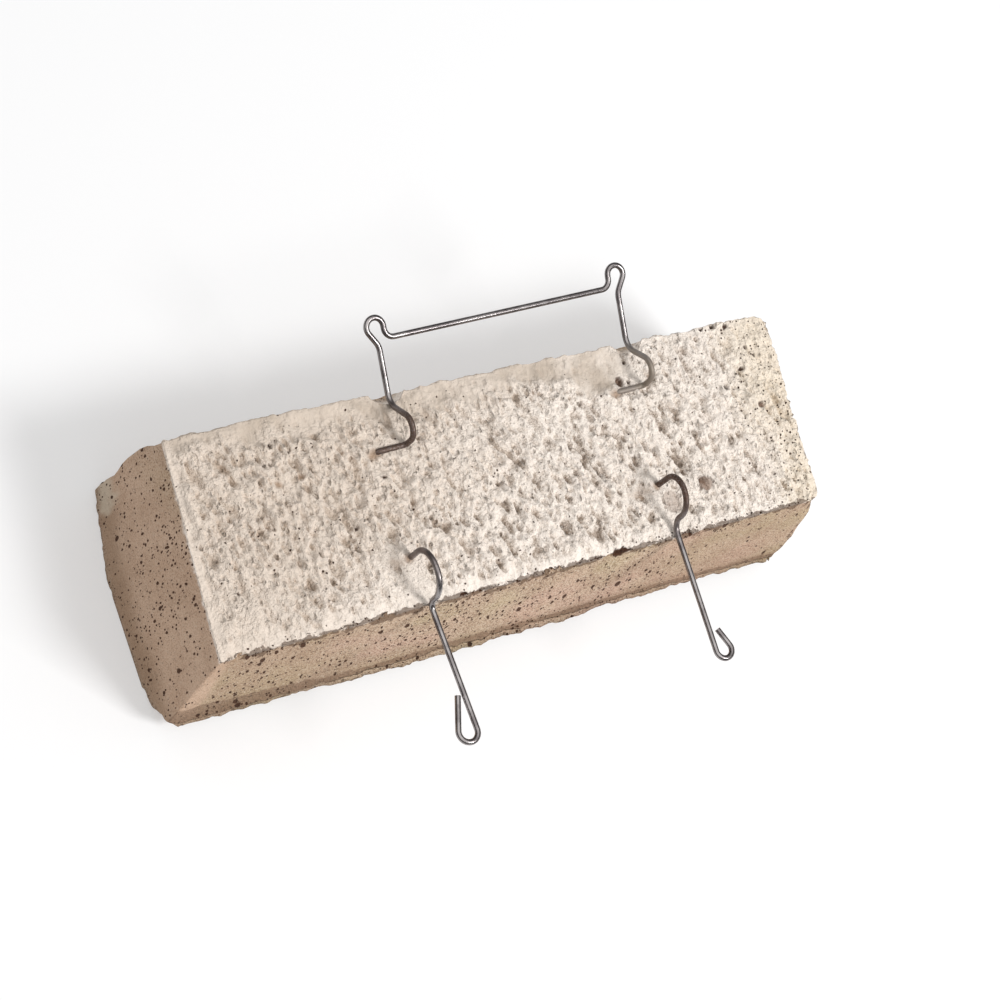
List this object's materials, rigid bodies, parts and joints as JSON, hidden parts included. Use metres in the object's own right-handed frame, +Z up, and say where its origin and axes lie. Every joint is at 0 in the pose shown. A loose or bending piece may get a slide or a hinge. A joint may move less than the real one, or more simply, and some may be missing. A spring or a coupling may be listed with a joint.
{
  "type": "ledgestone veneer unit",
  "caption": "Cast ledgestone veneer unit lying on its face, with a bent hanger wire and bent tie wires with eyes cast into its pitted back.",
  "frame": {"origin": "on the floor under the stone, in the main flat of its face", "axes": "+X along the unit from the smooth left end, +Y toward the hanger wire, +Z up out of the back that the wires stand on"},
  "size_m": [0.3097, 0.1798, 0.0885],
  "materials": {
    "cast_stone": "matte",
    "steel_wire": "satin"
  },
  "bodies": {
    "root": {"cast_stone": "cast_stone", "hanger_wire": "steel_wire", "tie_wire_left": "steel_wire", "tie_wire_right": "steel_wire"}
  },
  "joints": []
}
